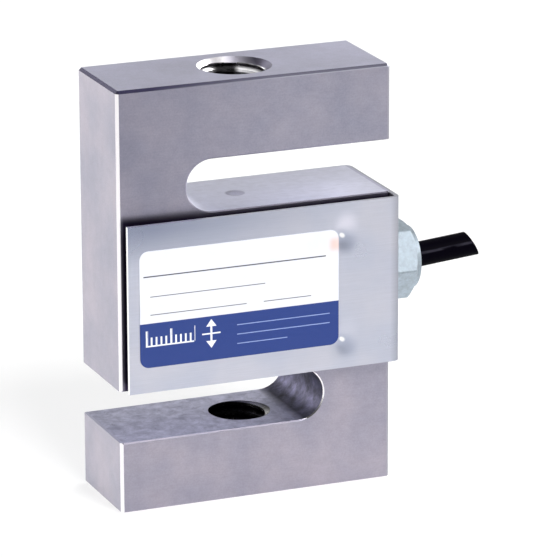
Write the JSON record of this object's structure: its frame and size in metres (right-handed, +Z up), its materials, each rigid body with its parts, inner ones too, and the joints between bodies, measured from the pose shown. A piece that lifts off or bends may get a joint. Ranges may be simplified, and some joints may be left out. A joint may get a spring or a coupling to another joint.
{
  "type": "s type load cell",
  "caption": "S-shaped strain-gauge force sensor: a slotted steel block, tapped at top and bottom, with a folded cover over its gauge window, a blank label, a hexagon gland and a short cable.",
  "frame": {"origin": "centre of the lower threaded hole's mouth, in the block's bottom face", "axes": "+Z up the load line through both threaded holes, +X the way the cable gland points, -Y out of the side that carries the label"},
  "size_m": [0.072, 0.0232, 0.0762],
  "materials": {
    "plated_beam_steel": "fine satin milled steel with a thin bright plating, rougher inside the slots",
    "cover_steel": "smooth satin rolled sheet steel",
    "printed_label": "smooth printed film, pale above and blue below",
    "sealing_compound": "dull black cured compound",
    "gauge_film": "amber backing film with a foil grid",
    "lead_ribbon": "thin tinned copper ribbon",
    "board_laminate": "glass-filled green laminate",
    "solder": "smooth tinned pads",
    "resistor_body": "dark ceramic with a matte coat",
    "cable_jacket_rubber": "smooth black jacket with a soft sheen",
    "shield_braid": "fine tinned copper braid",
    "red_insulation": "smooth red wire insulation",
    "black_insulation": "smooth black wire insulation",
    "green_insulation": "smooth green wire insulation",
    "white_insulation": "smooth white wire insulation",
    "copper": "bright stranded copper",
    "gland_steel": "zinc-plated, frosted satin on the flats",
    "washer_brass": "plain turned brass",
    "seal_rubber": "soft black rubber sleeve"
  },
  "bodies": {
    "root": {"load_beam": "plated_beam_steel", "cover": "cover_steel", "label": "printed_label", "front_sealant": "sealing_compound", "rear_sealant": "sealing_compound", "gauge_upper_left": "gauge_film", "gauge_lower_left": "gauge_film", "gauge_upper_right": "gauge_film", "gauge_lower_right": "gauge_film", "leads_upper_left": "lead_ribbon", "leads_lower_left": "lead_ribbon", "leads_upper_right": "lead_ribbon", "leads_lower_right": "lead_ribbon", "terminal_board": "board_laminate", "solder_pads": "solder", "span_resistor": "resistor_body", "balance_resistor": "resistor_body", "cable_jacket": "cable_jacket_rubber", "cable_shield": "shield_braid", "core_red": "red_insulation", "core_black": "black_insulation", "core_green": "green_insulation", "core_white": "white_insulation", "core_conductors": "copper", "gland_body": "gland_steel", "gland_washer": "washer_brass", "gland_seal": "seal_rubber"}
  },
  "joints": []
}
